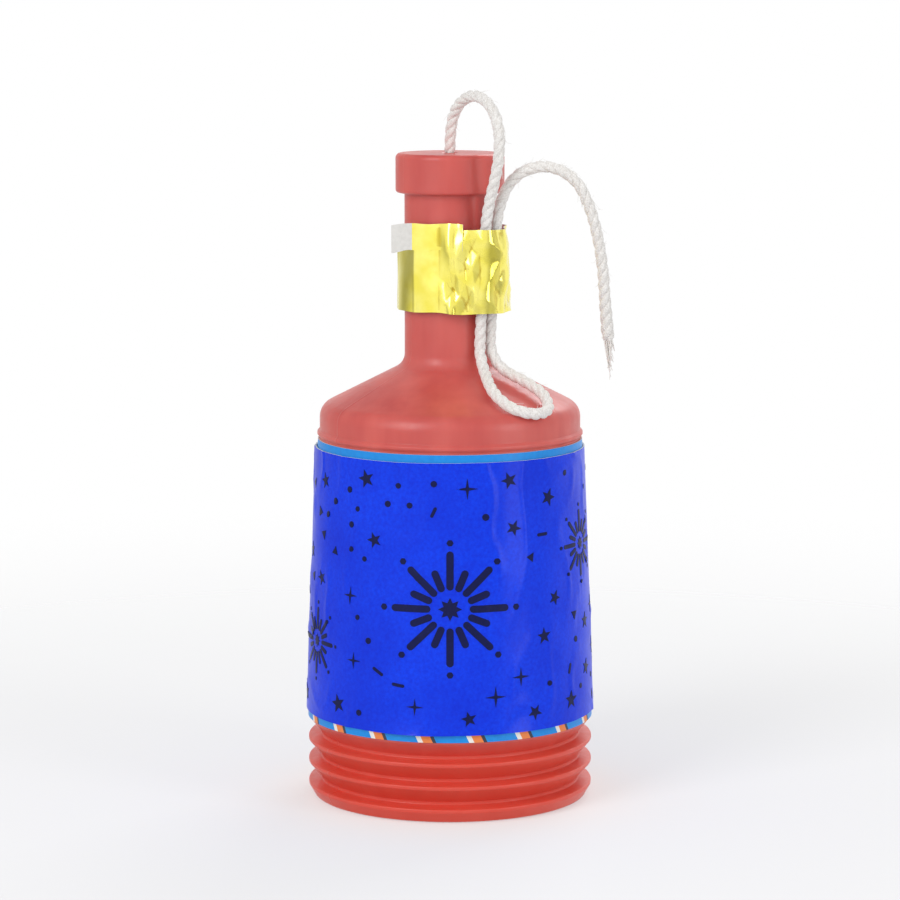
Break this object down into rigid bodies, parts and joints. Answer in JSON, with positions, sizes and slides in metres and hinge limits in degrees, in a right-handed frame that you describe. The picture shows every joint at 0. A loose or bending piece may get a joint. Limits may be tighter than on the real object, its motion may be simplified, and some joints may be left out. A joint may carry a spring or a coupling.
{
  "type": "confetti popper",
  "caption": "Bottle-shaped pull-string confetti popper with ridged mouth, paper label, foil-banded neck, cotton pull string, friction igniter and a load of streamers and confetti.",
  "frame": {"origin": "centre of the mouth rim, on the plane that the popper stands on", "axes": "+Z along the bottle's axis from the mouth to the neck's tip, -Y towards the front"},
  "size_m": [0.0484, 0.0458, 0.112],
  "materials": {
    "coral_plastic": "satin moulded",
    "cyan_label_paper": "printed, satin",
    "blue_label_paper": "printed, gloss",
    "gold_foil_paper": "crinkled metallic foil on paper",
    "cotton_string": "twisted",
    "kraft_card": "matt",
    "friction_composition": "dry pressed powder",
    "grey_card": "matt",
    "red_tissue": "thin, matt",
    "white_tissue": "thin, matt",
    "blue_tissue": "thin, matt"
  },
  "bodies": {
    "bottle": {"bottle_shell": "coral_plastic", "inner_label": "cyan_label_paper", "outer_label": "blue_label_paper", "neck_foil": "gold_foil_paper", "igniter_tube": "kraft_card", "upper_washer": "kraft_card", "friction_charge": "friction_composition", "lower_washer": "kraft_card"},
    "string": {"pull_string": "cotton_string", "string_core": "cotton_string", "pull_knot": "cotton_string"},
    "load": {"thrust_wad": "kraft_card", "streamer_1": "red_tissue", "streamer_2": "white_tissue", "streamer_3": "blue_tissue", "streamer_4": "red_tissue", "streamer_5": "white_tissue", "streamer_6": "blue_tissue", "streamer_7": "red_tissue", "confetti_red": "red_tissue", "confetti_white": "white_tissue", "confetti_blue": "blue_tissue"},
    "lid": {"mouth_disc": "grey_card"}
  },
  "joints": [
    {"name": "string_pull", "type": "slide", "parent": "bottle", "child": "string", "axis": [0, 0, 1], "range_m": [0, 0.006]},
    {"name": "load_burst", "type": "slide", "parent": "bottle", "child": "load", "axis": [0, 0, -1], "range_m": [0, 0.06]},
    {"name": "disc_pop", "type": "slide", "parent": "load", "child": "lid", "axis": [0, 0, -1], "range_m": [0, 0.03]}
  ]
}
